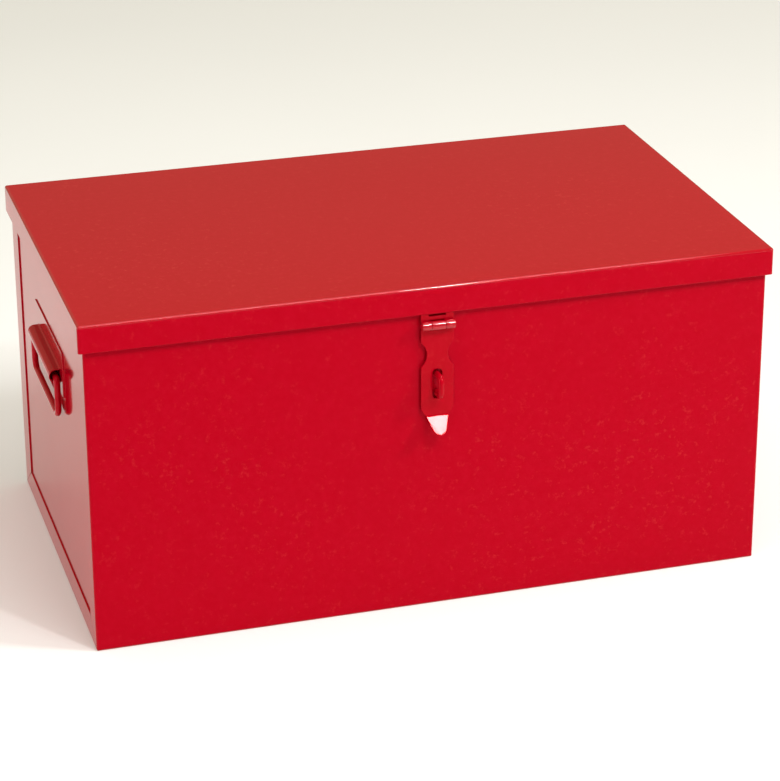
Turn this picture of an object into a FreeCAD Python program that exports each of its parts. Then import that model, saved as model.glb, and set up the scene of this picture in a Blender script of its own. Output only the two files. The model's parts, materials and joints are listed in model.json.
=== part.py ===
"""Steel jobsite box: a folded sheet body, a skirted hinged lid, a hasp and two drop handles.

Millimetres. X runs along the length, Y from front (-) to back (+), Z up.
The origin is the middle of the underside.
"""
import os
from math import cos, pi, radians, sin, tan

import FreeCAD
import Part

V = FreeCAD.Vector

# Overall sizes
body_length = 690.0
body_depth = 402.0
overall_height = 344.0

# Sheet work
sheet = 1.2
bend_radius = 2.5
seam_gap = 0.6
panel_edge_gap = 0.4

# Flanges folded round the end faces of the body, and the rim round its mouth
front_flange = 27.0
rear_flange = 35.0
bottom_flange = 26.5
rim_flange = 15.0

# Lid
lid_side_gap = 3.8
lid_front_gap = 4.0
lid_rest_gap = 0.3
skirt_height = 28.0

# Stiffener under the lid
stiffener_inset = 51.0
stiffener_crown = 36.0
stiffener_foot = 14.0
stiffener_rise = 12.0
stiffener_lean = 15.0

# Hinges at the back
hinge_inset = 115.0
hinge_length = 80.0
hinge_sheet = 2.0
hinge_pin_diameter = 5.0
hinge_drop = 6.5
hinge_body_leaf = 42.0
hinge_lid_leaf = 20.0
hinge_corner = 4.0
pin_clearance = 0.05
knuckle_gap = 0.3
wall_gap = 0.3

# Hasp at the front
hasp_width = 33.0
hasp_middle_knuckle = 14.0
hasp_sheet = 2.0
hasp_pin_diameter = 5.0
hasp_drop = 11.5
hasp_stand_off = 2.3
hasp_leaf_height = 20.0
hasp_window_width = 17.0
hasp_window_height = 2.2
hasp_window_drop = 3.0
strap_straight = 86.0
strap_tongue_width = 23.0
strap_tongue_tip = 12.0
strap_tongue_length = 21.0
strap_tongue_angle = 38.0
strap_tongue_corner = 3.0
strap_shoulder = 10.0
strap_shoulder_bow = 1.5
waist_drop = 31.0
waist_radius = 16.5
waist_depth = 6.0

# Padlock staple
staple_rod = 6.0
staple_pitch = 20.0
staple_reach = 20.0
staple_corner = 6.0
staple_drop = 62.5
staple_slot_side = 2.0
staple_slot_end = 3.0
backing_thickness = 2.0
backing_margin = 12.0
hole_clearance = 0.1

# Handles
handle_height = 266.0
handle_plate_height = 49.0
handle_plate_width = 154.0
handle_sheet = 1.2
handle_corner = 4.0
bead_drop = 29.5
bead_root_radius = 1.5
bail_rod = 6.5
bail_width = 133.0
bail_drop = 39.0
bail_stand_off = 5.5
bail_top_radius = 5.5
bail_bottom_radius = 11.0
bail_clearance = 2.55
bail_rest_gap = 0.25

# How far the fillets of a round end stay apart, and how many straight lengths stand for a bend of rod
round_end_flat = 0.1
bend_steps = 4

# Places that follow from the sizes above
half_length = body_length / 2
half_depth = body_depth / 2
front_face = -half_depth
body_height = overall_height - sheet - lid_rest_gap
lid_half_length = half_length + lid_side_gap + sheet
lid_half_depth = half_depth + lid_front_gap + sheet
skirt_bottom = overall_height - skirt_height
lid_under = overall_height - sheet
panel_face = half_length - sheet
hinge_x = half_length - hinge_inset
hinge_bore = hinge_pin_diameter / 2 + pin_clearance
hinge_barrel = hinge_bore + hinge_sheet
hinge_y = half_depth + wall_gap + hinge_barrel
hinge_z = skirt_bottom - hinge_drop
hasp_bore = hasp_pin_diameter / 2 + pin_clearance
hasp_barrel = hasp_bore + hasp_sheet
hasp_y = -(half_depth + hasp_stand_off + hasp_barrel)
hasp_z = skirt_bottom - hasp_drop
staple_z = hasp_z - staple_drop
bead_bore = bail_rod / 2 + bail_clearance
bead_radius = bead_bore + handle_sheet
bead_half = bail_width / 2 - bail_top_radius
handle_y = (front_flange - rear_flange) / 2
bail_x = -panel_face - bail_stand_off
bead_z = handle_height - bead_drop
bail_z = bead_z - bail_clearance + bail_rest_gap
overlap = 1.0
touch = 1e-6


def box(x0, x1, y0, y1, z0, z1):
    """Block between two corners."""
    return Part.makeBox(x1 - x0, y1 - y0, z1 - z0, V(x0, y0, z0))


def cylinder(radius, start, end):
    """Round bar from one point to another."""
    axis = end - start
    return Part.makeCylinder(radius, axis.Length, start, axis)


def join(shapes):
    """One solid from pieces that touch or overlap."""
    whole = shapes[0].fuse(shapes[1:])
    return whole.removeSplitter()


def outline(points, normal_shift):
    """Straight-sided profile through points, carried along a vector."""
    return Part.Face(Part.makePolygon(points + [points[0]])).extrude(normal_shift)


def rounded(solid, radius, chosen):
    """Fillet the edges that the test picks."""
    edges = [edge for edge in solid.Edges if chosen(edge)]
    return solid.makeFillet(radius, edges)


def runs_along(edge, axis):
    """True for a straight edge parallel to one axis."""
    step = edge.Vertexes[-1].Point - edge.Vertexes[0].Point
    return edge.Length - abs(step.dot(axis)) < touch


def folded_block(half_x, half_y, low, high, turned, radius, axes):
    """Block with bends along the axes, those that lie flat being at the height turned.

    The bends of each direction are rounded on a block of their own, and the
    blocks are crossed, so that bends meet in mitres as folded sheet does.
    """
    def bend(edge, axis):
        if not runs_along(edge, axis):
            return False
        flat = edge.BoundBox
        return axis.z == 1 or max(abs(flat.ZMin - turned), abs(flat.ZMax - turned)) < touch

    crossed = box(-half_x, half_x, -half_y, half_y, low, high)
    for axis in axes:
        block = box(-half_x, half_x, -half_y, half_y, low, high)
        crossed = crossed.common(rounded(block, radius, lambda edge, axis=axis: bend(edge, axis)))
    return crossed


def both_sides(shape):
    """The shape and its mirror image at the other end of the box."""
    return [shape, shape.mirror(V(0, 0, 0), V(1, 0, 0))]


def make_body_wrap():
    """Front, bottom and back in one folded sheet, with flanges round both ends."""
    inner_bend = bend_radius - sheet
    inside_x = half_length - sheet
    inside_y = half_depth - sheet
    axes = (V(1, 0, 0), V(0, 1, 0), V(0, 0, 1))
    wrap = folded_block(half_length, half_depth, 0, body_height, 0, bend_radius, axes)
    wrap = wrap.cut(folded_block(inside_x, inside_y, sheet, body_height + overlap, sheet,
                                 inner_bend, axes))
    window = box(-half_length - overlap, half_length + overlap,
                 -half_depth + front_flange, half_depth - rear_flange,
                 bottom_flange, body_height + overlap)
    wrap = wrap.cut(window)
    for mitre in mitre_slits():
        wrap = wrap.cut(mitre)
    rim_half = half_length - sheet - rim_flange - seam_gap
    for side in (-1, 1):
        turn = bend_radius
        wall = sorted((side * (half_depth + overlap), side * (half_depth - sheet - overlap)))
        wrap = wrap.cut(box(-rim_half, rim_half, wall[0], wall[1], body_height - turn,
                            body_height + overlap))
        wrap = wrap.fuse(turned_rim(V(-rim_half, side * half_depth, body_height), V(0, -side, 0),
                                    V(2 * rim_half, 0, 0)))
    wrap = wrap.removeSplitter()
    for side in (-1, 1):
        leg_y = -(half_depth + overlap)
        leg = cylinder((staple_rod + 2 * hole_clearance) / 2,
                       V(0, leg_y, staple_z + side * staple_pitch / 2),
                       V(0, leg_y + 2 * overlap + sheet, staple_z + side * staple_pitch / 2))
        wrap = wrap.cut(leg)
    return wrap


def turned_rim(corner, inward, length):
    """Bend and flange along the top of a wall, from the wall's outer top corner inwards."""
    def at(depth, drop):
        return corner + inward * depth - V(0, 0, drop)

    turn = bend_radius
    inner = turn - sheet
    slope = cos(radians(45))
    edges = [Part.Arc(at(0, turn), at(turn - turn * slope, turn - turn * slope),
                      at(turn, 0)).toShape(),
             Part.makeLine(at(turn, 0), at(rim_flange, 0)),
             Part.makeLine(at(rim_flange, 0), at(rim_flange, sheet)),
             Part.makeLine(at(rim_flange, sheet), at(turn, sheet)),
             Part.Arc(at(turn, sheet), at(turn - inner * slope, turn - inner * slope),
                      at(sheet, turn)).toShape(),
             Part.makeLine(at(sheet, turn), at(0, turn))]
    return Part.Face(Part.Wire(edges)).extrude(length)


def mitre_slits():
    """Thin cuts from the window's lower corners to the box's corners."""
    slits = []
    deep = sheet + bend_radius
    for flange, side in ((front_flange, -1), (rear_flange, 1)):
        inner = V(0, side * (half_depth - flange - seam_gap), bottom_flange + seam_gap)
        outer = V(0, side * (half_depth + seam_gap), -seam_gap)
        along = outer - inner
        across = V(0, -along.z, along.y)
        across.normalize()
        across = across * (seam_gap / 2)
        corners = [inner + across, outer + across, outer - across, inner - across]
        start = V(-half_length - overlap, 0, 0)
        slit = outline([corner + start for corner in corners], V(deep + overlap, 0, 0))
        slits.extend(both_sides(slit))
    return slits


def make_end_panel():
    """Left end sheet behind the flanges, with its own rim."""
    edge = half_depth - sheet - (bend_radius - sheet) - panel_edge_gap
    low = sheet + (bend_radius - sheet) + panel_edge_gap
    outside = -panel_face
    panel = box(outside, outside + sheet, -edge, edge, low, body_height - bend_radius)
    rim_edge = half_depth - rim_flange - seam_gap
    rim = turned_rim(V(outside, -rim_edge, body_height), V(1, 0, 0), V(0, 2 * rim_edge, 0))
    return join([panel, rim])


def make_lid_tray():
    """Top sheet with a skirt folded down on all four sides, its corners mitred and welded."""
    axes = (V(1, 0, 0), V(0, 1, 0))
    outer = folded_block(lid_half_length, lid_half_depth, skirt_bottom, overall_height,
                         overall_height, bend_radius, axes)
    inner = folded_block(lid_half_length - sheet, lid_half_depth - sheet, skirt_bottom - overlap,
                         lid_under, lid_under, bend_radius - sheet, axes)
    return outer.cut(inner)


def make_lid_stiffener():
    """Hat-shaped rail under the lid, with both feet on the sheet."""
    top = lid_under
    low = top - stiffener_rise
    crown = stiffener_crown / 2
    foot = crown + stiffener_foot
    lean = stiffener_rise * tan(radians(stiffener_lean))
    half = lid_half_length - stiffener_inset
    section = [V(-half, -foot, top), V(-half, -crown, top), V(-half, -crown + lean, low + sheet),
               V(-half, crown - lean, low + sheet), V(-half, crown, top), V(-half, foot, top),
               V(-half, foot, top - sheet), V(-half, crown + sheet, top - sheet),
               V(-half, crown - lean + sheet, low), V(-half, -crown + lean - sheet, low),
               V(-half, -crown - sheet, top - sheet), V(-half, -foot, top - sheet)]
    return outline(section, V(2 * half, 0, 0))


def knuckles(spans, y, z, barrel, bore):
    """Rolled knuckles over the given stretches of X, with their bore."""
    rolls = []
    for start, end in spans:
        roll = cylinder(barrel, V(start, y, z), V(end, y, z))
        rolls.append(roll.cut(cylinder(bore, V(start - overlap, y, z), V(end + overlap, y, z))))
    return rolls


def hinge_spans(x):
    """Outer and middle stretches of a three-knuckle hinge centred on x."""
    third = hinge_length / 3
    left = x - hinge_length / 2
    inner = (left + third + knuckle_gap / 2, left + 2 * third - knuckle_gap / 2)
    outer = [(left, left + third - knuckle_gap / 2),
             (left + 2 * third + knuckle_gap / 2, left + hinge_length)]
    return outer, [inner]


def make_hinge(x):
    """Body leaf, lid leaf and pin of one back hinge."""
    outer, inner = hinge_spans(x)
    body_side = half_depth
    lid_side = lid_half_depth - sheet
    left = x - hinge_length / 2
    right = x + hinge_length / 2
    bore = cylinder(hinge_bore, V(left - overlap, hinge_y, hinge_z),
                    V(right + overlap, hinge_y, hinge_z))
    clear = cylinder(hinge_barrel + wall_gap, V(inner[0][0] - knuckle_gap, hinge_y, hinge_z),
                     V(inner[0][1] + knuckle_gap, hinge_y, hinge_z))
    plate = box(left, right, body_side, body_side + hinge_sheet,
                hinge_z - hinge_body_leaf, hinge_z)
    plate = rounded(plate, hinge_corner, lambda edge: runs_along(edge, V(0, 1, 0))
                    and edge.BoundBox.ZMax < hinge_z - overlap)
    plate = plate.cut(clear)
    body_leaf = join([plate] + knuckles(outer, hinge_y, hinge_z, hinge_barrel, hinge_bore))
    body_leaf = body_leaf.cut(bore)
    neck = box(inner[0][0], inner[0][1], lid_side - hinge_sheet, lid_side,
               hinge_z + hinge_bore, skirt_bottom)
    flap = box(left, right, lid_side - hinge_sheet, lid_side,
               hinge_z + hinge_barrel + wall_gap, skirt_bottom + hinge_lid_leaf)
    lid_leaf = join([neck, flap] + knuckles(inner, hinge_y, hinge_z, hinge_barrel, hinge_bore))
    lid_leaf = lid_leaf.cut(bore)
    pin = cylinder(hinge_pin_diameter / 2, V(left, hinge_y, hinge_z), V(right, hinge_y, hinge_z))
    return body_leaf, lid_leaf, pin


def hasp_spans():
    """Outer and middle stretches of the hasp's knuckles."""
    half = hasp_width / 2
    middle = hasp_middle_knuckle / 2
    outer = [(-half, -middle - knuckle_gap), (middle + knuckle_gap, half)]
    return outer, [(-middle, middle)]


def make_hasp_leaf():
    """Fixed leaf behind the front skirt, with the two outer knuckles and a small window."""
    outer, inner = hasp_spans()
    face = -(lid_half_depth - sheet)
    half = hasp_width / 2
    plate = box(-half, half, face, face + hasp_sheet, hasp_z, skirt_bottom + hasp_leaf_height)
    clear = cylinder(hasp_barrel + wall_gap, V(inner[0][0] - knuckle_gap, hasp_y, hasp_z),
                     V(inner[0][1] + knuckle_gap, hasp_y, hasp_z))
    notch = box(inner[0][0] - knuckle_gap, inner[0][1] + knuckle_gap,
                face - overlap, face + hasp_sheet + overlap,
                hasp_z - overlap, hasp_z + hasp_barrel + wall_gap)
    window = box(-hasp_window_width / 2, hasp_window_width / 2,
                 face - overlap, face + hasp_sheet + overlap,
                 skirt_bottom - hasp_window_drop, skirt_bottom - hasp_window_drop + hasp_window_height)
    leaf = plate.cut(notch).cut(clear)
    leaf = join([leaf] + knuckles(outer, hasp_y, hasp_z, hasp_barrel, hasp_bore))
    bore = cylinder(hasp_bore, V(-half - overlap, hasp_y, hasp_z), V(half + overlap, hasp_y, hasp_z))
    return leaf.cut(bore).cut(window)


def strap_outline():
    """Front view of the strap: straight sides, a waist and shoulders down to the tongue."""
    half = hasp_width / 2
    tongue = strap_tongue_width / 2
    top = hasp_z
    low = hasp_z - strap_straight
    fold = low - strap_shoulder
    middle = hasp_z - waist_drop
    chord = (waist_radius ** 2 - (waist_radius - waist_depth) ** 2) ** 0.5
    edges = []

    def side(sign):
        x = sign * half
        upper = V(x, 0, middle + chord)
        lower = V(x, 0, middle - chord)
        waist = V(x - sign * waist_depth, 0, middle)
        shoulder = V(x, 0, low)
        neck = V(sign * tongue, 0, fold)
        bulge = V(sign * ((half + tongue) / 2 + strap_shoulder_bow), 0,
                  (low + fold) / 2 - strap_shoulder_bow)
        return [Part.makeLine(V(x, 0, top), upper), Part.Arc(upper, waist, lower).toShape(),
                Part.makeLine(lower, shoulder), Part.Arc(shoulder, bulge, neck).toShape()]

    edges.extend(side(1))
    edges.append(Part.makeLine(V(tongue, 0, fold), V(-tongue, 0, fold)))
    edges.extend(side(-1))
    edges.append(Part.makeLine(V(-half, 0, top), V(half, 0, top)))
    return Part.Wire(Part.__sortEdges__(edges)), fold


def make_hasp_strap():
    """Swinging strap: middle knuckle, waisted plate with a slot, and a bent-out tongue."""
    outer, inner = hasp_spans()
    back = front_face - hasp_stand_off
    wire, fold = strap_outline()
    plate = Part.Face(wire).extrude(V(0, -hasp_sheet, 0))
    plate.translate(V(0, back, 0))
    for start, end in outer:
        before, after = (knuckle_gap, overlap) if start > 0 else (overlap, knuckle_gap)
        plate = plate.cut(box(start - before, end + after, back - hasp_barrel * 2, back + overlap,
                              hasp_z - hasp_barrel - wall_gap, hasp_z + overlap))
    slot_half = staple_rod / 2 + staple_slot_side
    slot_reach = (staple_pitch + staple_rod) / 2 + staple_slot_end
    slot = box(-slot_half, slot_half, back - hasp_sheet - overlap, back + overlap,
               staple_z - slot_reach, staple_z + slot_reach)
    slot = rounded(slot, slot_half - round_end_flat, lambda edge: runs_along(edge, V(0, 1, 0)))
    plate = plate.cut(slot)
    tongue = make_tongue(back, fold)
    strap = join([plate, tongue] + knuckles(inner, hasp_y, hasp_z, hasp_barrel, hasp_bore))
    bore = cylinder(hasp_bore, V(-hasp_width, hasp_y, hasp_z), V(hasp_width, hasp_y, hasp_z))
    return strap.cut(bore)


def make_tongue(back, fold):
    """Tapered finger tab turned outwards at the foot of the strap."""
    tip = fold - strap_tongue_length
    wide = strap_tongue_width / 2
    narrow = strap_tongue_tip / 2
    tab = outline([V(-wide, back, fold), V(wide, back, fold), V(narrow, back, tip),
                   V(-narrow, back, tip)], V(0, -hasp_sheet, 0))
    tab = rounded(tab, strap_tongue_corner, lambda edge: runs_along(edge, V(0, 1, 0))
                  and edge.BoundBox.ZMax < fold - overlap)
    tab.rotate(V(0, back - hasp_sheet, fold), V(1, 0, 0), -strap_tongue_angle)
    wedge = cylinder(hasp_sheet, V(-wide, back - hasp_sheet, fold), V(wide, back - hasp_sheet, fold))
    keep = box(-wide, wide, back - hasp_sheet, back, fold - hasp_sheet, fold)
    return tab.fuse(wedge.common(keep))


def corner_points(before, here, after, radius):
    """Points of a mitred bend that keeps outside an arc of the radius at a corner."""
    to_before = (before - here).normalize()
    to_after = (after - here).normalize()
    half = to_before.getAngle(to_after) / 2
    centre = here + (to_before + to_after).normalize() * (radius / sin(half))
    first = here + to_before * (radius / tan(half)) - centre
    last = here + to_after * (radius / tan(half)) - centre
    axis = first.cross(last).normalize()
    step = (pi - 2 * half) / bend_steps
    points = []
    for index in range(bend_steps):
        turn = (index + 1 / 2) * step
        spoke = first * cos(turn) + axis.cross(first) * sin(turn)
        points.append(centre + spoke * (1 / cos(step / 2)))
    return points


def bent_rod(points, radii, diameter):
    """Round rod through points, bent at each inner point that has a radius."""
    path = [points[0]]
    for index, radius in enumerate(radii, start=1):
        path.extend(corner_points(points[index - 1], points[index], points[index + 1], radius))
    path.append(points[-1])
    ring = Part.Wire(Part.makeCircle(diameter / 2, path[0], path[1] - path[0]))
    mitred = 1
    return Part.makePolygon(path).makePipeShell([ring], True, False, mitred)


def make_staple():
    """Padlock loop of bent rod, its legs through the front wall and the plate behind it."""
    half = staple_pitch / 2
    root = front_face + sheet + backing_thickness
    tip = front_face - staple_reach + staple_rod / 2
    points = [V(0, root, staple_z + half), V(0, tip, staple_z + half),
              V(0, tip, staple_z - half), V(0, root, staple_z - half)]
    return bent_rod(points, [staple_corner, staple_corner], staple_rod)


def make_staple_plate():
    """Plate behind the front wall that spreads the pull of the staple."""
    inside = -half_depth + sheet
    half = staple_rod / 2 + backing_margin
    reach = staple_pitch / 2 + backing_margin
    plate = box(-half, half, inside, inside + backing_thickness, staple_z - reach, staple_z + reach)
    for side in (-1, 1):
        z = staple_z + side * staple_pitch / 2
        plate = plate.cut(cylinder(staple_rod / 2 + hole_clearance, V(0, inside - overlap, z),
                                   V(0, inside + backing_thickness + overlap, z)))
    return plate


def bead_block(radius, half):
    """Half-round ridge of the left handle, its sides straight down to the end panel."""
    start = handle_y - half
    face = -panel_face
    top = V(bail_x, start, bead_z + radius)
    low = V(bail_x, start, bead_z - radius)
    crest = V(bail_x - radius, start, bead_z)
    low_foot = V(face, start, bead_z - radius)
    top_foot = V(face, start, bead_z + radius)
    edges = [Part.Arc(top, crest, low).toShape(), Part.makeLine(low, low_foot),
             Part.makeLine(low_foot, top_foot), Part.makeLine(top_foot, top)]
    return Part.Face(Part.Wire(edges)).extrude(V(0, 2 * half, 0))


def make_handle_base():
    """Base of the left handle: a flat plate with a hollow bead pressed out of it for the rod."""
    face = -panel_face
    front = face - handle_sheet
    half = handle_plate_width / 2
    plate = box(front, face, handle_y - half, handle_y + half,
                handle_height - handle_plate_height, handle_height)
    plate = rounded(plate, handle_corner, lambda edge: runs_along(edge, V(1, 0, 0)))
    base = join([plate, bead_block(bead_radius, bead_half)])

    def bead_root(edge):
        beside = abs(abs(edge.BoundBox.ZMax - bead_z) - bead_radius) < touch
        return runs_along(edge, V(0, 1, 0)) and beside and abs(edge.BoundBox.XMin - front) < touch

    base = rounded(base, bead_root_radius, bead_root)
    return base.cut(bead_block(bead_bore, bead_half + overlap))


def make_bail():
    """Closed rod loop of the left handle, its top bar lying low inside the bead of the base."""
    front = handle_y - bail_width / 2
    back = handle_y + bail_width / 2
    low = bail_z - bail_drop
    weld = V(bail_x, handle_y, bail_z)
    points = [weld, V(bail_x, back, bail_z), V(bail_x, back, low), V(bail_x, front, low),
              V(bail_x, front, bail_z), weld]
    radii = [bail_top_radius, bail_bottom_radius, bail_bottom_radius, bail_top_radius]
    return bent_rod(points, radii, bail_rod)


def make_parts():
    """Every piece of the box by name."""
    parts = {"body_wrap": make_body_wrap(),
             "lid_tray": make_lid_tray(),
             "lid_stiffener": make_lid_stiffener(),
             "hasp_lid_leaf": make_hasp_leaf(),
             "hasp_strap": make_hasp_strap(),
             "hasp_pin": cylinder(hasp_pin_diameter / 2, V(-hasp_width / 2, hasp_y, hasp_z),
                                  V(hasp_width / 2, hasp_y, hasp_z)),
             "padlock_staple": make_staple(),
             "staple_backing_plate": make_staple_plate()}
    for side, x in (("left", -hinge_x), ("right", hinge_x)):
        leaves = make_hinge(x)
        parts[f"hinge_{side}_body_leaf"] = leaves[0]
        parts[f"hinge_{side}_lid_leaf"] = leaves[1]
        parts[f"hinge_{side}_pin"] = leaves[2]
    ends = {"end_panel_{}": make_end_panel(),
            "handle_{}_base": make_handle_base(),
            "handle_{}_bail": make_bail()}
    for name, shape in ends.items():
        left, right = both_sides(shape)
        parts[name.format("left")] = left
        parts[name.format("right")] = right
    return parts


def main():
    """Build, test and write every piece."""
    os.makedirs("parts", exist_ok=True)
    for name, shape in sorted(make_parts().items()):
        if not shape.isValid():
            raise ValueError(f"{name} isn't a valid shape")
        shape.exportStep(f"parts/{name}.step")
        print(f"{name}: {len(shape.Solids)} solid(s), {shape.Volume:.1f} mm3")


main()
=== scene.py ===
"""Red steel jobsite box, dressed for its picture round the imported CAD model.

The frame is the CAD's: X to the right end, Y to the back, Z up, with the origin in
the middle of the underside. Camera and lights are in metres. The pieces' sizes are
in millimetres, and become metres when a mesh is made.
"""
import json
from math import cos, pi, radians, sin, sqrt, tan

import bmesh
import bpy
import numpy as np
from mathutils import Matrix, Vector


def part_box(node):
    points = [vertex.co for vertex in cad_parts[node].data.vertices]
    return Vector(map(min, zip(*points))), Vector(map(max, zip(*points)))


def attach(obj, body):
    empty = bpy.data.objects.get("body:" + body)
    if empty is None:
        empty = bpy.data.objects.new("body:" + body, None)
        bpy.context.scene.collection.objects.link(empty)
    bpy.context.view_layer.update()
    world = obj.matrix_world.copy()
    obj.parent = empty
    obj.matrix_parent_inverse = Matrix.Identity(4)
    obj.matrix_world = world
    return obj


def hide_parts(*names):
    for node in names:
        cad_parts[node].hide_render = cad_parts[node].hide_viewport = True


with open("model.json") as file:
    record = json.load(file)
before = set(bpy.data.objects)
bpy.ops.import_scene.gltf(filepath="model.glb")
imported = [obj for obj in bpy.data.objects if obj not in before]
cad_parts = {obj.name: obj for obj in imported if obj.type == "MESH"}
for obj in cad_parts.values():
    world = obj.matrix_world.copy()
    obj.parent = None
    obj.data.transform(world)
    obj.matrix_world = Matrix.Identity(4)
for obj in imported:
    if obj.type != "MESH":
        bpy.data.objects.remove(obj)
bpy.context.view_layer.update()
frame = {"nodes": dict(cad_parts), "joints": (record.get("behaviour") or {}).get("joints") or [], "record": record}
nodes = frame["nodes"]
mm = 0.001


def corners_of(node):
    """Lowest and highest corner of a CAD node, in millimetres."""
    low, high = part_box(node)
    return np.round(np.array(low) / mm, 3), np.round(np.array(high) / mm, 3)


def axis_of(joint_name):
    """Place of a joint's axis, in millimetres."""
    joint = next(joint for joint in frame["joints"] if joint["name"] == joint_name)
    return np.round(np.array(joint["pos_m"]) / mm, 3)


# Sheet metal, in millimetres as all sizes of pieces are
lid_low, lid_high = corners_of("lid_tray")
sheet = 1.2
sheet_edge = 0.4
cut_edge = 0.3
bend_radius = 2.5
lid_corner = 2.7
lid_sag = 0.5
skirt_foot = lid_low[2]
skirt_inside = lid_high[1] - sheet
wall_face = corners_of("body_wrap")[1][1]
width_jump = 0.02
most_thinning = 0.98
least_gap = 0.05
least_edge = 0.001
merge_distance = 0.002
cad_merge_distance = 0.003

# Stiffening rail
rail_crown = 18.0
rail_shoulder = 14.8
rail_bend = 2.0

# Rolled leaves and their pins, on the hasp and the hinges alike
leaf_thickness = 2.0
leaf_edge = 0.35
leaf_top = skirt_foot + 20.0
leaf_y = skirt_inside - leaf_thickness / 2
pin_radius = 2.5
pin_head_radius = 3.4
pin_head_height = 0.9
pin_head_rim = 0.1
pin_bore = 2.55
roll_radius = pin_bore + leaf_thickness / 2
barrel_radius = pin_bore + leaf_thickness
knuckle_clear = 0.3

# Hinges
hinge_y, hinge_z = axis_of("lid_hinge")[1:]
hinge_x = 230.0
hinge_half = 40.0
hinge_third = hinge_half / 3
hinge_leaf_drop = 42.0
hinge_leaf_stop = 3.0
hinge_corner = 4.0
weld_radius = 3.2
weld_depth = 0.35
weld_places = ((12, 12), (12, 26), (32, 12), (32, 26))

# Hasp
hasp_y, hasp_z = axis_of("hasp_swing")[1:]
hasp_half = 16.5
hasp_middle = 7.0
hasp_leaf_stop = 6.0
window_half = 8.5
window_height = 2.2
window_foot = skirt_foot - 3.0
strap_y = hasp_y + roll_radius
strap_edge = 0.45
strap_bend = 5.0
strap_straight = 86.0
strap_shoulder = 10.0
strap_fold = hasp_z - strap_straight - strap_shoulder
waist_drop = 31.0
waist_radius = 16.5
waist_depth = 6.0
waist_reach = 13.0
slot_half_width = 5.0
slot_half_height = 16.0
tongue_length = 21.0
tongue_angle = 38.0
tongue_half = 11.5
tip_radius = 7.0
tip_length = 5.0
tip_flat = 0.15

# Padlock staple
staple_z = hasp_z - 62.5
staple_radius = 3.0
staple_leg = 10.0
staple_reach = 20.0
staple_bend = 6.0
backing_thickness = 2.0
peen_radius = 4.6
peen_rim = 0.2
peen_height = 1.8
peen_sunk = 0.1

# Handle
plate_low, plate_high = corners_of("handle_left_base")
panel_x = plate_high[0]
plate_top = plate_high[2]
plate_height = plate_top - plate_low[2]
plate_half = (plate_high[1] - plate_low[1]) / 2
plate_corner = 4.0
plate_edge = 0.5
handle_sheet = 1.2
bail_x, handle_y, bail_z = axis_of("left_bail_swing")
bail_radius = 3.25
bail_half = 66.5
bail_low = bail_z - 39.0
bail_top_bend = 5.5
bail_bottom_bend = 11.0
bead_z = plate_top - 29.5
bead_half = bail_half - bail_top_bend
bead_middle = 6.4
bead_foot = 8.0
bead_foot_bend = 2.1
bead_sheet = 1.16

# Enamel: colours, sizes of what shows in it, and the stretches of noise that count. The lighter red of the mottle
# and the red of the flecks are painted sheen of the orange peel, mixed into the deep red by noise.
deep_red = (0.42, 0.0002, 0.009)
lit_red = (0.44, 0.0010, 0.012)
sheen_fleck_red = (0.50, 0.016, 0.022)
rosy = (1.0, 0.05, 0.12)
pale = (1.0, 0.25, 0.30)
bright = (1.0, 0.14, 0.14)
sheen_fleck_mm = 6.0
sheen_fleck_strength = 0.8
crowd_mm = 260.0
least_crowd = 0.5
patch_mm = 60.0
middle_range = (0.3, 0.7)
sheen_mottle_range = (0.40, 0.75)
sheen_fleck_range = (0.57, 0.69)
crowd_range = (0.42, 0.62)
wave_mm = 140.0
wave_height_mm = 0.25
enamel_ior = 1.4
thick_ior = 1.6
thick_roughness = 0.05
bend_band = 2.7
bend_share = 0.65
knuckle_reach = 4.8
knuckle_share = 0.6
fade = 0.3

# Floor, in metres
floor_half = 9.0
floor_patch_mm = 900.0
floor_tones = (0.87, 0.89)
floor_glow = 0.10
white = (1.0, 1.0, 1.0, 1.0)

# Camera, solved from the corners of the lid and the body in the photograph
photo_width = 780
photo_height = 781
camera_azimuth = -17.11
camera_elevation = 22.075
camera_distance = 2.9208
camera_target = (0.04677, 0.0, 0.23153)
camera_focal_pixels = 2799.8
camera_shift = (-0.04, -0.10)
sensor_mm = 36.0
lamp_aim = (0.0, 0.0, 0.17)


def direction(azimuth, elevation):
    """Unit vector from the object to a viewer: azimuth 0 is in front, 90 to the right."""
    a = radians(azimuth)
    e = radians(elevation)
    return Vector((sin(a) * cos(e), -cos(a) * cos(e), sin(e)))


def make_camera():
    """Camera at the photograph's viewpoint."""
    data = bpy.data.cameras.new("camera")
    data.sensor_width = sensor_mm
    data.lens = camera_focal_pixels / max(photo_width, photo_height) * sensor_mm
    data.shift_x, data.shift_y = camera_shift
    data.clip_start = 0.05
    data.clip_end = 60.0
    camera = bpy.data.objects.new("camera", data)
    back = direction(camera_azimuth, camera_elevation)
    camera.location = Vector(camera_target) + back * camera_distance
    camera.rotation_mode = "QUATERNION"
    camera.rotation_quaternion = (-back).to_track_quat("-Z", "Y")
    bpy.context.scene.collection.objects.link(camera)
    bpy.context.scene.camera = camera


def make_softbox(name, azimuth, elevation, distance, width, height, brightness):
    """Rectangular soft light that faces the middle of the box, with a radiance."""
    data = bpy.data.lights.new(name, "AREA")
    data.shape = "RECTANGLE"
    data.size = width
    data.size_y = height
    data.energy = brightness * pi * width * height
    light = bpy.data.objects.new(name, data)
    back = direction(azimuth, elevation)
    light.location = Vector(lamp_aim) + back * distance
    light.rotation_mode = "QUATERNION"
    light.rotation_quaternion = (-back).to_track_quat("-Z", "Y")
    bpy.context.scene.collection.objects.link(light)


def make_world(colour, brightness):
    """Even surroundings, a little warm."""
    world = bpy.data.worlds.new("studio")
    world.use_nodes = True
    background = world.node_tree.nodes["Background"]
    background.inputs["Color"].default_value = (*colour, 1.0)
    background.inputs["Strength"].default_value = brightness
    bpy.context.scene.world = world


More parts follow.
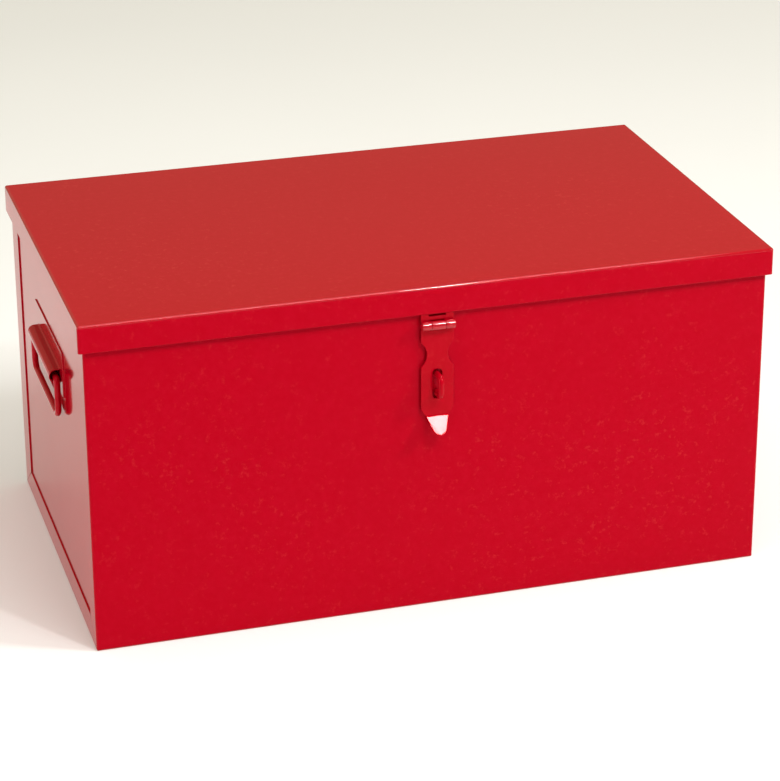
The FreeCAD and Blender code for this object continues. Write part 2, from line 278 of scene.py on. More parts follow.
def new_material(name):
    """Material with an empty node tree, its shader and its output."""
    material = bpy.data.materials.new(name)
    material.use_nodes = True
    tree = material.node_tree
    tree.nodes.clear()
    shader = tree.nodes.new("ShaderNodeBsdfPrincipled")
    output = tree.nodes.new("ShaderNodeOutputMaterial")
    tree.links.new(shader.outputs["BSDF"], output.inputs["Surface"])
    return material, tree, shader


def add_noise(tree, size_mm, detail=2.0, roughness=0.5):
    """Noise whose blotches are about a size across, on object coordinates."""
    place = tree.nodes.new("ShaderNodeTexCoord")
    noise = tree.nodes.new("ShaderNodeTexNoise")
    noise.inputs["Scale"].default_value = 1.0 / (size_mm * mm)
    noise.inputs["Detail"].default_value = detail
    noise.inputs["Roughness"].default_value = roughness
    tree.links.new(place.outputs["Object"], noise.inputs["Vector"])
    return noise.outputs["Fac"]


def add_range(tree, value, low, high, to_low, to_high):
    """Map a value from one range to another, held at its ends."""
    node = tree.nodes.new("ShaderNodeMapRange")
    node.inputs["From Min"].default_value = low
    node.inputs["From Max"].default_value = high
    node.inputs["To Min"].default_value = to_low
    node.inputs["To Max"].default_value = to_high
    tree.links.new(value, node.inputs["Value"])
    return node.outputs["Result"]


def add_bump(tree, height, distance_mm, before=None):
    """Bump of a height in millimetres, on top of an earlier one."""
    node = tree.nodes.new("ShaderNodeBump")
    node.inputs["Strength"].default_value = 1.0
    node.inputs["Distance"].default_value = distance_mm * mm
    tree.links.new(height, node.inputs["Height"])
    if before is not None:
        tree.links.new(before, node.inputs["Normal"])
    return node.outputs["Normal"]


def add_math(tree, operation, first, second):
    """Value worked out from two others, each a socket or a plain number."""
    node = tree.nodes.new("ShaderNodeMath")
    node.operation = operation
    for socket, value in zip(node.inputs, (first, second)):
        if isinstance(value, (int, float)):
            socket.default_value = value
        else:
            tree.links.new(value, socket)
    return node.outputs["Value"]


def add_places(tree):
    """The three object coordinates of the surface, in millimetres."""
    place = tree.nodes.new("ShaderNodeTexCoord")
    split = tree.nodes.new("ShaderNodeSeparateXYZ")
    tree.links.new(place.outputs["Object"], split.inputs["Vector"])
    return [add_math(tree, "DIVIDE", split.outputs[axis], mm) for axis in "XYZ"]


def thick_on_lid_bend(tree):
    """How much clear enamel has run together on the bend round the lid's top; 0 elsewhere."""
    x, y, z = add_places(tree)
    band_x, band_y, band_z = lid_high - bend_band
    past_x = add_math(tree, "SUBTRACT", add_math(tree, "ABSOLUTE", x, 0.0), band_x)
    past_y = add_math(tree, "SUBTRACT", add_math(tree, "ABSOLUTE", y, 0.0), band_y)
    past_z = add_math(tree, "SUBTRACT", z, band_z)
    beside = add_range(tree, add_math(tree, "MAXIMUM", past_x, past_y), 0.0, fade, 0.0, bend_share)
    above = add_range(tree, past_z, 0.0, fade, 0.0, 1.0)
    return add_math(tree, "MULTIPLY", beside, above)


def thick_on_hasp_knuckles(tree):
    """How much clear enamel has run together round the hasp's rolled knuckles; 0 elsewhere."""
    x, y, z = add_places(tree)
    from_y = add_math(tree, "SUBTRACT", y, hasp_y)
    from_z = add_math(tree, "SUBTRACT", z, hasp_z)
    squares = add_math(tree, "ADD", add_math(tree, "MULTIPLY", from_y, from_y),
                       add_math(tree, "MULTIPLY", from_z, from_z))
    return add_range(tree, squares, knuckle_reach ** 2, (knuckle_reach + fade) ** 2,
                     knuckle_share, 0.0)


def add_blend(tree, factor, first, second):
    """Mix of two colours, each a socket or a plain colour."""
    node = tree.nodes.new("ShaderNodeMix")
    node.data_type = "RGBA"
    tree.links.new(factor, node.inputs["Factor"])
    for name, colour in (("A", first), ("B", second)):
        if isinstance(colour, tuple):
            node.inputs[name].default_value = (*colour, 1.0)
        else:
            tree.links.new(colour, node.inputs[name])
    return node.outputs["Result"]


def make_red_paint(name, sheen_mottle_mm, peel_mm, peel_height_mm, gloss, highlight, thick=None):
    """Red enamel: a faint mottle and small flecks of painted sheen, orange peel, long soft waves and uneven gloss.
    """
    material, tree, shader = new_material(name)
    # The mottle is painted sheen: a slightly lighter red mixed into the deep red by noise.
    sheen_mottle = add_range(tree, add_noise(tree, sheen_mottle_mm, 3.0, 0.6), *sheen_mottle_range, 0.0, 1.0)
    sheen_mottled = add_blend(tree, sheen_mottle, deep_red, lit_red)
    # Small flecks of painted sheen, in a lighter red, gathered in patches by the crowd noise.
    sheen_spots = add_range(tree, add_noise(tree, sheen_fleck_mm, 5.0, 0.7), *sheen_fleck_range, 0.0, sheen_fleck_strength)
    crowd = add_range(tree, add_noise(tree, crowd_mm, 1.0), *crowd_range, least_crowd, 1.0)
    sheen_flecked = add_blend(tree, add_math(tree, "MULTIPLY", sheen_spots, crowd), sheen_mottled, sheen_fleck_red)
    tree.links.new(sheen_flecked, shader.inputs["Base Color"])
    roughness = add_range(tree, add_noise(tree, patch_mm), *middle_range, *gloss)
    tree.links.new(roughness, shader.inputs["Roughness"])
    waves = add_bump(tree, add_noise(tree, wave_mm, 1.0), wave_height_mm)
    peel = add_bump(tree, add_noise(tree, peel_mm), peel_height_mm, waves)
    tree.links.new(peel, shader.inputs["Normal"])
    shader.inputs["IOR"].default_value = enamel_ior
    shader.inputs["Specular Tint"].default_value = (*highlight, 1.0)
    if thick is not None:
        tree.links.new(thick(tree), shader.inputs["Coat Weight"])
        shader.inputs["Coat Roughness"].default_value = thick_roughness
        shader.inputs["Coat IOR"].default_value = thick_ior
    return material


def make_floor():
    """Pale floor that runs out of view on every side."""
    material, tree, shader = new_material("pale_floor")
    tone = add_range(tree, add_noise(tree, floor_patch_mm), *middle_range, *floor_tones)
    join = tree.nodes.new("ShaderNodeCombineColor")
    for channel in ("Red", "Green", "Blue"):
        tree.links.new(tone, join.inputs[channel])
    tree.links.new(join.outputs["Color"], shader.inputs["Base Color"])
    shader.inputs["Roughness"].default_value = 0.7
    shader.inputs["Specular IOR Level"].default_value = 0.1
    shader.inputs["Emission Color"].default_value = white
    shader.inputs["Emission Strength"].default_value = floor_glow
    mesh = bpy.data.meshes.new("floor")
    corners = [(x * floor_half, y * floor_half, 0) for x, y in ((-1, -1), (1, -1), (1, 1), (-1, 1))]
    mesh.from_pydata(corners, [], [(0, 1, 2, 3)])
    mesh.materials.append(material)
    floor = bpy.data.objects.new("floor", mesh)
    bpy.context.scene.collection.objects.link(floor)


paints = {
    "box_paint": make_red_paint("box_paint", 7.0, 1.8, 0.003, (0.06, 0.11), rosy, thick_on_lid_bend),
    "handle_paint": make_red_paint("handle_paint", 5.0, 1.5, 0.002, (0.06, 0.10), pale),
    "hasp_paint": make_red_paint("hasp_paint", 5.0, 1.5, 0.002, (0.06, 0.10), bright,
                                 thick_on_hasp_knuckles),
    "hinge_paint": make_red_paint("hinge_paint", 5.0, 1.5, 0.003, (0.08, 0.13), pale),
}


def paint_nodes():
    """Every CAD node gets the paint of its slot."""
    for row in frame["record"]["subparts"]:
        mesh = nodes[row["node"]].data
        mesh.materials.clear()
        mesh.materials.append(paints[row["material_slot"]])


def bent_line(corners, radii, steps=10):
    """Points along straight runs whose corners are rounded by arcs.

    At each inner corner the arc of the radius touches both runs: its centre lies on
    the corner's bisector, and its points are centre plus spokes turned evenly from
    one touching point to the other.
    """
    corners = np.asarray(corners, float)
    line = [corners[:1]]
    for before, here, after, radius in zip(corners[:-2], corners[1:-1], corners[2:], radii):
        back = (before - here) / np.linalg.norm(before - here)
        on = (after - here) / np.linalg.norm(after - here)
        half = np.arccos(np.clip(back @ on, -1, 1)) / 2
        middle = (back + on) / np.linalg.norm(back + on)
        centre = here + middle * radius / sin(half)
        first = here + back * radius / tan(half) - centre
        last = here + on * radius / tan(half) - centre
        turn = np.linspace(0, 1, steps + 1)[:, None]
        whole = pi - 2 * half
        spokes = (np.sin((1 - turn) * whole) * first + np.sin(turn * whole) * last) / sin(whole)
        line.append(centre + spokes)
    line.append(corners[-1:])
    return np.concatenate(line)


def along(line):
    """Distance from the start to each point of a line."""
    steps = np.linalg.norm(np.diff(line, axis=0), axis=1)
    return np.concatenate([[0], np.cumsum(steps)])


def resample(values, run, places):
    """Rows of values that belong to distances along a line, at other distances along it."""
    return np.stack([np.interp(places, run, column) for column in values.T], 1)


def normals_of(line):
    """Unit vectors square to a plane line, to the left of its direction."""
    ahead = np.gradient(line, axis=0)
    ahead /= np.linalg.norm(ahead, axis=1)[:, None]
    return np.stack([-ahead[:, 1], ahead[:, 0]], 1)


def grid_faces(rows, columns, ring_rows=False, ring_columns=False):
    """Four-sided faces of a grid of points, as rows of point numbers."""
    row = np.arange(rows if ring_rows else rows - 1)[:, None]
    column = np.arange(columns if ring_columns else columns - 1)[None, :]
    next_row = (row + 1) % rows
    next_column = (column + 1) % columns
    faces = np.stack([row * columns + column, row * columns + next_column,
                      next_row * columns + next_column, next_row * columns + column], -1)
    return faces.reshape(-1, 4)


def end_faces(rows, columns):
    """Two faces, which close the first and the last row of a grid whose rows are rings."""
    column = np.arange(columns)[None, :]
    return [column, column + columns * (rows - 1)]


def make_piece(name, parts, body, slot, node, sharp=40.0):
    """Mesh object from grids of points in millimetres, joined, closed and turned outwards.

    A part is its points and a list of arrays of faces. Points that no face uses are
    left out, and each face's numbers are moved to those of the points that stay.
    """
    points = np.concatenate([part_points.reshape(-1, 3) for part_points, part_faces in parts]) * mm
    starts = np.cumsum([0] + [part_points.size // 3 for part_points, part_faces in parts])
    faces = [group + start for start, part in zip(starts, parts) for group in part[1]]
    used = np.zeros(len(points), bool)
    for group in faces:
        used[group] = True
    number = np.cumsum(used) - 1
    mesh = bpy.data.meshes.new(name)
    mesh.from_pydata(points[used].tolist(), [], sum((number[group].tolist() for group in faces), []))
    joined = bmesh.new()
    joined.from_mesh(mesh)
    bmesh.ops.remove_doubles(joined, verts=joined.verts, dist=merge_distance * mm)
    bmesh.ops.dissolve_degenerate(joined, edges=joined.edges, dist=least_edge * mm)
    bmesh.ops.recalc_face_normals(joined, faces=joined.faces)
    joined.to_mesh(mesh)
    joined.free()
    finish_piece(name, mesh, body, slot, node, sharp)


def finish_piece(name, mesh, body, slot, node, sharp, bevel_mm=0.0):
    """Object of a mesh, painted, shaded by the size of its faces and riding its body."""
    mesh.shade_smooth()
    mesh.set_sharp_from_angle(angle=radians(sharp))
    mesh.materials.append(paints[slot])
    piece = bpy.data.objects.new(name, mesh)
    bpy.context.scene.collection.objects.link(piece)
    if bevel_mm:
        bevel = piece.modifiers.new("rounded edges", "BEVEL")
        bevel.width = bevel_mm * mm
        bevel.segments = 3
        bevel.limit_method = "ANGLE"
        bevel.angle_limit = radians(35)
        bevel.use_clamp_overlap = True
    shading = piece.modifiers.new("even shading", "WEIGHTED_NORMAL")
    shading.keep_sharp = True
    shading.weight = 100 if bevel_mm else 50
    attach(piece, body)
    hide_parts(node)


def tube(line, across, radius, sides=32, closed=False):
    """Round rod along a line that lies in one plane.

    Each point is line + radius * (cos a * side + sin a * across), where across is
    square to the plane and side is square to the line within it.
    """
    if closed:
        ahead = np.roll(line, -1, 0) - np.roll(line, 1, 0)
    else:
        ahead = np.gradient(line, axis=0)
    ahead /= np.linalg.norm(ahead, axis=1)[:, None]
    across = np.asarray(across, float)
    side = np.cross(ahead, across)
    turn = np.linspace(0, 2 * pi, sides, endpoint=False)
    radius = np.broadcast_to(radius, len(line))[:, None, None]
    ring = (np.cos(turn)[None, :, None] * side[:, None, :]
            + np.sin(turn)[None, :, None] * across[None, None, :])
    points = line[:, None, :] + radius * ring
    faces = [grid_faces(len(line), sides, closed, True)]
    if not closed:
        faces.extend(end_faces(len(line), sides))
    return points, faces


def turned(profile, start, axis, sides=32):
    """Turned shape: a profile of (place along the axis, radius) swung round the axis.

    Each point is start + place * axis + radius * (cos a * other + sin a * third), where
    axis, other and third are square to each other.
    """
    axis = np.asarray(axis, float)
    axis /= np.linalg.norm(axis)
    aslant = [0.3, 0.5, 0.8]
    other = np.cross(axis, aslant)
    other /= np.linalg.norm(other)
    third = np.cross(axis, other)
    turn = np.linspace(0, 2 * pi, sides, endpoint=False)
    spokes = np.cos(turn)[:, None] * other + np.sin(turn)[:, None] * third
    profile = np.asarray(profile, float)
    points = (np.asarray(start, float) + profile[:, None, :1] * axis
              + profile[:, None, 1:] * spokes[None])
    return points, [grid_faces(len(profile), sides, False, True)]


def eased(run, length, edge):
    """How far a rounded end draws in at each place: edge - sqrt(edge^2 - (edge - s)^2)."""
    nearest = np.clip(np.minimum(run, length - run), 0, edge)
    return edge - np.sqrt(np.maximum(edge ** 2 - (edge - nearest) ** 2, 0))


def sheet_strip(line, outer, inner, thickness, edge, place, face_steps=0, dent=None):
    """Sheet bent along a plane line, with its long edges and ends rounded.

    The line is (n, 2) points of the middle of the sheet. outer and inner give the
    half width and the half width of the gap in the middle at each distance along it.
    Each cross section is a rounded rectangle from inner to outer, carried square to
    the line, and mirrored. Where the gap is closed, the two halves meet without their
    inner faces. place turns (across, first, second) into x, y, z, and dent takes depth
    off both faces.
    """
    corner_steps = 4
    run = along(line)
    length = run[-1]
    turn = np.linspace(0, pi / 2, corner_steps)
    ends = edge * np.sin(turn) ** 2
    places = [run, ends, length - ends, outer.places, inner.places]
    if face_steps:
        places.append(np.linspace(0, length, face_steps * 2))
    places = np.unique(np.clip(np.concatenate(places), 0, length).round(4))
    middle = resample(line, run, places)
    normal = resample(normals_of(line), run, places)
    normal /= np.linalg.norm(normal, axis=1)[:, None]
    draw = eased(places, length, edge)
    out = outer(places) - draw
    gap = inner(places)
    gap = np.where(gap > least_gap, np.minimum(gap + draw, out - edge / 2), 0.0)
    high = (thickness / 2 - draw * most_thinning)[:, None]
    bite_out = np.minimum(edge, high)
    bite_in = np.minimum(bite_out, gap[:, None])
    rise = high - bite_out * (1 - np.sin(turn))
    near = gap[:, None] + bite_in * (1 - np.cos(turn))
    far = out[:, None] - bite_out * (1 - np.cos(turn))
    share = np.linspace(0, 1, face_steps + 2)[1:-1]
    face = near[:, -1:] + (far[:, -1:] - near[:, -1:]) * share
    flat = np.broadcast_to(high, face.shape)
    across = np.concatenate([near, face, far[:, ::-1], far, face[:, ::-1], near[:, ::-1]], 1)
    height = np.concatenate([rise, flat, rise[:, ::-1], -rise, -flat, -rise[:, ::-1]], 1)
    if dent is not None:
        height = height - np.sign(height) * dent(across, places[:, None])
    rows, columns = across.shape
    faces = grid_faces(rows, columns, False, True)
    column = np.arange(columns)
    inner_column = (column < corner_steps - 1) | (column >= columns - corner_steps)
    closed_row = (gap[:-1] <= 0) & (gap[1:] <= 0)
    keep = ~(closed_row[:, None] & inner_column[None, :]).reshape(-1)
    faces = [faces[keep], *end_faces(rows, columns)]
    flat_place = middle[:, None, :] + height[:, :, None] * normal[:, None, :]
    return [(place(side * across, flat_place[:, :, 0], flat_place[:, :, 1]), faces)
            for side in (1, -1)]


class Widths:
    """Half width along a strip, straight between given places."""

    def __init__(self, *pairs):
        self.places = np.array([pair[0] for pair in pairs], float)
        self.widths = np.array([pair[1] for pair in pairs], float)

    def __call__(self, places):
        return np.interp(places, self.places, self.widths)


def even_width(line, half):
    """The same half width from end to end of a line."""
    return Widths((0, half), (along(line)[-1], half))


def across_x(x):
    """Place for strips whose width runs along X, in a plane of Y and Z."""
    return lambda across, first, second: np.stack([x + across, first, second], -1)


def across_y(y):
    """Place for strips whose width runs along Y, in a plane of X and Z."""
    return lambda across, first, second: np.stack([first, y + across, second], -1)


def arc(centre, radius, start, end, steps=28):
    """Points on a circle between two angles in degrees."""
    turn = np.radians(np.linspace(start, end, steps))
    return np.stack([centre[0] + radius * np.cos(turn), centre[1] + radius * np.sin(turn)], 1)


def dressed_copy(name, node, bevel_mm):
    """CAD node with its flat faces made whole and its cut edges softened."""
    mesh = bpy.data.meshes.new(name)
    joined = bmesh.new()
    joined.from_mesh(nodes[node].data)
    bmesh.ops.remove_doubles(joined, verts=joined.verts, dist=cad_merge_distance * mm)
    bmesh.ops.dissolve_limit(joined, angle_limit=radians(0.5), verts=joined.verts,
                             edges=joined.edges)
    joined.to_mesh(mesh)
    joined.free()
    row = next(row for row in frame["record"]["subparts"] if row["node"] == node)
    body = next(body for body, members in frame["record"]["behaviour"]["bodies"].items()
                if node in members)
    finish_piece(name, mesh, body, row["material_slot"], node, 30.0, bevel_mm)


def rounded_rectangle(half_x, half_y, corner, inset, long_steps, short_steps, corner_steps):
    """Rows of points round a rectangle, drawn in by each inset.

    Corner arcs are centre + (corner - inset) * (cos a, sin a), and the points of the
    straight sides are shared evenly between the arcs that they join.
    """
    radius = (corner - np.asarray(inset, float))[:, None]
    sides = []
    signs = ((1, 1), (-1, 1), (-1, -1), (1, -1))
    arcs = []
    for index, (sign_x, sign_y) in enumerate(signs):
        turn = np.linspace(index * pi / 2, (index + 1) * pi / 2, corner_steps)
        arcs.append(np.stack([sign_x * (half_x - corner) + radius * np.cos(turn),
                              sign_y * (half_y - corner) + radius * np.sin(turn)], -1))
    for index in range(4):
        steps = short_steps if index % 2 else long_steps
        share = np.linspace(0, 1, steps + 2)[1:-1][None, :, None]
        end = arcs[index][:, -1:, :]
        start = arcs[(index + 1) % 4][:, :1, :]
        sides.extend([arcs[index], end + (start - end) * share])
    return np.concatenate(sides, 1)


def sheet_sag(x, y, half_x, half_y, depth):
    """Slight hollow of a flat sheet, deepest in the middle, with one soft wave.

    depth * (1 - X^2)^2 * (1 - Y^2)^2 * (1 + 0.3 sin(5 X + 2 Y)) with X and Y the places
    as shares of the half sizes.
    """
    share_x = np.clip(x / half_x, -1, 1)
    share_y = np.clip(y / half_y, -1, 1)
    dome = (1 - share_x ** 2) ** 2 * (1 - share_y ** 2) ** 2
    return depth * dome * (1 + 0.3 * np.sin(5 * share_x + 2 * share_y))


def make_lid():
    """Lid sheet: flat top, bends, skirts with a rolled lower edge, and its inside.

    Rings run from the middle of the top outwards, over the quarter round of the bend,
    down the skirt, over the half round of its edge and back up the inside. Each ring is
    a rounded rectangle drawn in by its inset, at its height.
    """
    turn = np.linspace(0, pi / 2, 7)
    hem = np.linspace(0, pi, 9)
    inner = bend_radius - sheet
    top = lid_high[2]
    inset = np.concatenate([bend_radius * (1 - np.sin(turn)), sheet / 2 * (1 - np.cos(hem)),
                            bend_radius - inner * np.sin(turn[::-1])])
    height = np.concatenate([top - bend_radius * (1 - np.cos(turn)),
                             skirt_foot + sheet / 2 * (1 - np.sin(hem)),
                             top - bend_radius + inner * np.cos(turn[::-1])])
    rim = rounded_rectangle(lid_high[0], lid_high[1], lid_corner, inset, 40, 24, 7)
    share = np.linspace(0, 1, 24)[:-1, None, None]
    flat = np.concatenate([share * rim[:1], rim, share[::-1] * rim[-1:]])
    z = np.concatenate([np.full(len(share), top), height, np.full(len(share), top - sheet)])
    z = np.broadcast_to(z[:, None], flat.shape[:2])
    sag = sheet_sag(flat[..., 0], flat[..., 1], lid_high[0], lid_high[1], lid_sag)
    in_top = z > top - 1.5 * sheet
    z = z - np.where(in_top, sag, 0)
    points = np.concatenate([flat, z[..., None]], -1)
    faces = [grid_faces(points.shape[0], points.shape[1], False, True)]
    make_piece("lid_sheet", [(points, faces)], "lid", "box_paint", "lid_tray", 50.0)


def make_stiffener():
    """Hat-shaped rail under the lid: a strip bent along a line with four bends."""
    low, high = corners_of("lid_stiffener")
    top = high[2] - sheet / 2
    crown = low[2] + sheet / 2
    line = bent_line([(low[1], top), (-rail_crown, top), (-rail_shoulder, crown),
                      (rail_shoulder, crown), (rail_crown, top), (high[1], top)], [rail_bend] * 4)
    parts = sheet_strip(line, even_width(line, (high[0] - low[0]) / 2), even_width(line, 0),
                        sheet, sheet_edge, across_x(0))
    make_piece("lid_rail", parts, "lid", "box_paint", "lid_stiffener")


def make_bail(side):
    """Closed loop of round rod, with four bends, whose top bar turns in the plate's bead."""
    corners = np.array([(0, bail_z), (bail_half, bail_z), (bail_half, bail_low),
                        (-bail_half, bail_low), (-bail_half, bail_z), (0, bail_z)])
    bends = [bail_top_bend, bail_bottom_bend, bail_bottom_bend, bail_top_bend]
    line = bent_line(corners, bends, 14)[:-1]
    line = np.stack([np.full(len(line), side * -bail_x), handle_y + line[:, 0], line[:, 1]], 1)
    name = "right" if side > 0 else "left"
    part = tube(line, (1.0, 0.0, 0.0), bail_radius, 40, True)
    make_piece(f"{name}_handle_loop", [part], f"{name}_bail", "handle_paint",
               f"handle_{name}_bail")


def make_handle_plate(side):
    """Plate of the handle with a bead pressed out of it, which holds the loop's top bar.

    The plate's rings run from the middle of its front over a quarter-round edge to the
    middle of its back. The bead is a strip that leaves the plate by a small bend, climbs a short leg,
    goes half round the bar and comes down the same way.
    """
    turn = np.linspace(0, pi / 2, 6)
    inset = plate_edge * (1 - np.sin(turn))
    rim = rounded_rectangle(plate_half, plate_height / 2, plate_corner, inset, 30, 10, 9)
    front = panel_x - handle_sheet
    depth = front + plate_edge * (1 - np.cos(turn))
    share = np.linspace(0, 1, 6)[:-1, None, None]
    flat = np.concatenate([share * rim[:1], rim, rim[-1:], share[::-1] * rim[-1:]])
    x = np.concatenate([np.full(len(share), front), depth, np.full(len(share) + 1, panel_x)])
    points = np.empty((*flat.shape[:2], 3))
    points[..., 0] = x[:, None] * -side
    points[..., 1] = flat[..., 0] + handle_y
    points[..., 2] = flat[..., 1] + plate_top - plate_height / 2
    faces = [grid_faces(points.shape[0], points.shape[1], False, True)]
    root = (front + panel_x) / 2
    leg = bead_z - bead_middle
    ridge = arc((bail_x, bead_z), bead_middle, 270, 90, 40)
    foot = bent_line([(root, leg - bead_foot), (root, leg), ridge[0]], [bead_foot_bend], 8)
    line = np.concatenate([foot, ridge[1:-1], foot[::-1] * (1, -1) + (0, 2 * bead_z)])
    line[:, 0] *= -side
    bead = sheet_strip(line, even_width(line, bead_half), even_width(line, 0), bead_sheet,
                       sheet_edge, across_y(handle_y))
    name = "right" if side > 0 else "left"
    make_piece(f"{name}_handle_plate", [(points, faces), *bead], "box", "handle_paint",
               f"handle_{name}_base", 50.0)


def make_hasp_leaf():
    """Fixed leaf behind the front skirt, rolled into two knuckles, with a small window.

    A strip runs down the leaf and round the pin. Its gap opens at the window and again
    from the notch between the knuckles to the end of the roll.
    """
    roll = arc((hasp_y, hasp_z), roll_radius, 0, -285, 40)
    line = np.concatenate([[(-leaf_y, leaf_top), (-leaf_y, hasp_z + hasp_leaf_stop)], roll])
    length = along(line)[-1]
    notch = leaf_top - (hasp_z + barrel_radius + knuckle_clear)
    window_end = leaf_top - window_foot
    window_start = window_end - window_height
    gap = hasp_middle + knuckle_clear
    inner = Widths((0, 0), (window_start, 0), (window_start + width_jump, window_half),
                   (window_end, window_half), (window_end + width_jump, 0), (notch, 0),
                   (notch + width_jump, gap), (length, gap))
    parts = sheet_strip(line, even_width(line, hasp_half), inner, leaf_thickness, leaf_edge,
                        across_x(0))
    make_piece("hasp_fixed_leaf", parts, "lid", "hasp_paint", "hasp_lid_leaf")


def strap_half_widths(places, fold, waist, neck):
    """Half width of the strap at each distance from the tongue's tip.

    The tip is half the chord of a circle, and the tongue widens evenly from it to the
    fold. A quarter of a sine wave widens the shoulder to the full width, a circle's
    chord is taken off at the waist, and past the neck only the middle knuckle is left.
    """
    into_tip = tip_radius - tip_flat - places
    tip = np.sqrt(tip_radius ** 2 - np.clip(into_tip, 0, None) ** 2)
    tip_half = sqrt(tip_radius ** 2 - (tip_radius - tip_flat - tip_length) ** 2)
    flare = tip_half + (tongue_half - tip_half) * (places - tip_length) / (fold - tip_length)
    tongue = np.where(places < tip_length, tip, flare)
    bulge = np.clip((places - fold) / strap_shoulder, 0, 1)
    shoulder = tongue_half + (hasp_half - tongue_half) * np.sin(bulge * pi / 2)
    half = np.where(places < fold, tongue, shoulder)
    away = np.clip(np.abs(places - waist), 0, waist_radius)
    bite = np.sqrt(waist_radius ** 2 - away ** 2) - (waist_radius - waist_depth)
    half = half - np.clip(bite, 0, None)
    return np.where(places > neck, hasp_middle, half)


def make_hasp_strap():
    """Swinging strap: rolled knuckle, waisted plate with a slot, and a bent-out tongue.

    A strip runs up the tongue, over the fold, up the plate and round the pin. The slot
    is its gap: straight sides, and ends that are half the chord of a circle.
    """
    out = radians(tongue_angle)
    foot = (strap_y - tongue_length * sin(out), strap_fold - tongue_length * cos(out))
    plate_end = hasp_z - 1.0
    plate = bent_line([foot, (strap_y, strap_fold), (strap_y, plate_end)], [strap_bend])
    roll = arc((hasp_y, hasp_z), roll_radius, 0, 288, 40)
    line = np.concatenate([plate, roll])
    run = along(line)
    rise = run[len(plate) - 1] - plate_end
    fold = rise + strap_fold
    waist = rise + hasp_z - waist_drop
    neck = rise + hasp_z - barrel_radius - knuckle_clear
    round_places = tip_length * (1 - np.cos(np.linspace(0, pi / 2, 14)))
    places = np.unique(np.concatenate([round_places, np.linspace(tip_length, fold, 24),
                                       np.linspace(fold, fold + strap_shoulder, 12),
                                       np.linspace(waist - waist_reach, waist + waist_reach, 41),
                                       [neck, neck + width_jump, run[-1]]]))
    slot = rise + staple_z
    slot_places = np.linspace(slot - slot_half_height, slot + slot_half_height, 49)
    straight = slot_half_height - slot_half_width
    past = np.clip(np.abs(slot_places - slot) - straight, 0, slot_half_width)
    slot_half = np.sqrt(np.clip(slot_half_width ** 2 - past ** 2, 0, None))
    outer = Widths(*zip(places, strap_half_widths(places, fold, waist, neck)))
    inner = Widths((0, 0), *zip(slot_places, slot_half), (run[-1], 0))
    parts = sheet_strip(line, outer, inner, leaf_thickness, strap_edge, across_x(0))
    make_piece("hasp_swinging_strap", parts, "hasp", "hasp_paint", "hasp_strap")


def make_pin(name, x, y, z, half, body, node, slot):
    """Pin turned from a profile, with a low peened dome at each end.

    The dome's places are half + rim + height * sin a, and its radii head * sqrt(cos a).
    """
    end = np.linspace(0, pi / 2, 6)
    dome = np.stack([half + pin_head_rim + pin_head_height * np.sin(end),
                     pin_head_radius * np.cos(end) ** 0.5], 1)
    shank = [(-half, pin_head_radius), (-half, pin_radius), (half, pin_radius),
             (half, pin_head_radius)]
    profile = np.concatenate([dome[::-1] * (-1, 1), shank, dome])
    part = turned(profile, (x, y, z), (1.0, 0.0, 0.0), 32)
    make_piece(name, [part], body, slot, node)


def make_staple():
    """Padlock loop of bent rod with its legs peened over behind the wall.

    Each peened head is turned: places rim + height * sin a, radii head * cos a.
    """
    root = -wall_face + sheet + backing_thickness
    tip = -wall_face - staple_reach + staple_radius
    legs = (staple_z - staple_leg, staple_z + staple_leg)
    line = bent_line([(root, legs[1]), (tip, legs[1]), (tip, legs[0]), (root, legs[0])],
                     [staple_bend, staple_bend], 14)
    line = np.stack([np.zeros(len(line)), line[:, 0], line[:, 1]], 1)
    parts = [tube(line, (1.0, 0.0, 0.0), staple_radius, 36)]
    end = np.linspace(0, pi / 2, 8)
    head = np.stack([peen_rim + peen_height * np.sin(end), peen_radius * np.cos(end)], 1)
    head = np.concatenate([[(-peen_sunk, 0.0), (-peen_sunk, peen_radius)], head])
    for z in legs:
        parts.append(turned(head, (0, root, z), (0.0, 1.0, 0.0), 32))
    make_piece("padlock_loop", parts, "box", "hasp_paint", "padlock_staple")


def weld_dents(centres, radius, depth):
    """Round spot-weld marks: depth times (1 - (distance / radius)^2)^2 at each centre."""
    def dent(across, places):
        hollow = 0
        for x, s in centres:
            away = ((across - x) ** 2 + (places - s) ** 2) / radius ** 2
            hollow = hollow + depth * np.clip(1 - away, 0, None) ** 2
        return hollow
    return dent


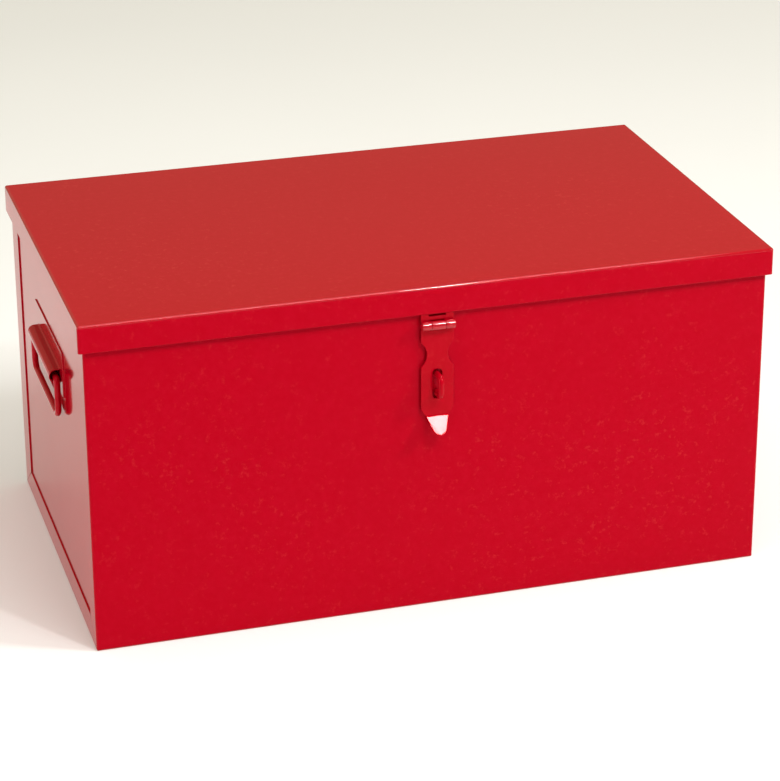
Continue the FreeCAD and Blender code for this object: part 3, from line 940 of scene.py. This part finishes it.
def make_hinge(side):
    """Leaves of one back hinge, rolled into knuckles, and their pin.

    Each leaf is a strip that runs along its flat and round the pin. The body leaf's gap
    opens between its two knuckles, and the lid leaf narrows to the middle knuckle.
    """
    name = "right" if side > 0 else "left"
    centre = (hinge_y, hinge_z)
    x = side * hinge_x
    back = wall_face + leaf_thickness / 2
    line = np.concatenate([[(back, hinge_z - hinge_leaf_drop), (back, hinge_z - hinge_leaf_stop)],
                           arc(centre, roll_radius, 180, -100, 40)])
    length = along(line)[-1]
    notch = hinge_leaf_drop - barrel_radius - knuckle_clear
    corner = np.linspace(0, hinge_corner, 10)
    bottom = hinge_half - eased(corner, np.inf, hinge_corner)
    gap = hinge_third + knuckle_clear / 2
    parts = sheet_strip(line, Widths(*zip(corner, bottom), (length, hinge_half)),
                        Widths((0, 0), (notch, 0), (notch + width_jump, gap), (length, gap)),
                        leaf_thickness, leaf_edge, across_x(x), 40,
                        weld_dents(weld_places, weld_radius, weld_depth))
    make_piece(f"{name}_hinge_body_leaf", parts, "box", "hinge_paint",
               f"hinge_{name}_body_leaf")
    start = np.degrees(np.arccos((leaf_y - hinge_y) / roll_radius))
    line = np.concatenate([[(leaf_y, leaf_top)], arc(centre, roll_radius, start, 395, 40)])
    neck = leaf_top - (hinge_z + barrel_radius + knuckle_clear)
    middle = hinge_third - knuckle_clear / 2
    outer = Widths((0, hinge_half), (neck, hinge_half), (neck + width_jump, middle),
                   (along(line)[-1], middle))
    parts = sheet_strip(line, outer, even_width(line, 0), leaf_thickness, leaf_edge, across_x(x))
    make_piece(f"{name}_hinge_lid_leaf", parts, "lid", "hinge_paint", f"hinge_{name}_lid_leaf")
    make_pin(f"{name}_hinge_rod", x, hinge_y, hinge_z, hinge_half, "box", f"hinge_{name}_pin",
             "hinge_paint")


def make_pieces():
    """Everything that is drawn more finely than the CAD has it."""
    make_lid()
    make_stiffener()
    for side in (-1, 1):
        make_bail(side)
        make_handle_plate(side)
        make_hinge(side)
    make_hasp_leaf()
    make_hasp_strap()
    make_pin("hasp_rod", 0.0, hasp_y, hasp_z, hasp_half, "lid", "hasp_pin", "hinge_paint")
    make_staple()
    for name, node in (("body_sheet", "body_wrap"), ("left_end_sheet", "end_panel_left"),
                       ("right_end_sheet", "end_panel_right"),
                       ("staple_plate", "staple_backing_plate")):
        dressed_copy(name, node, cut_edge)


make_camera()
make_world((1.0, 0.90, 0.58), 0.33)

# The key lights the front and the right end. The flash shows in the hasp's tongue, and
# the strip along the lid's front bend.
make_softbox("key", 62, 35, 6.0, 0.8, 0.8, 80.0)
make_softbox("flash", 21.4, 45.2, 2.56, 0.13, 0.13, 240.0)
make_softbox("strip", 16, 50, 2.6, 1.35, 0.25, 14.0)
make_softbox("left_fill", -80, 14, 3.0, 1.6, 1.6, 3.0)
make_softbox("ceiling", 0, 84, 3.6, 3.4, 3.4, 1.7)
make_floor()
paint_nodes()
make_pieces()
bpy.context.scene.view_settings.view_transform = "Standard"
bpy.context.scene.view_settings.look = "None"
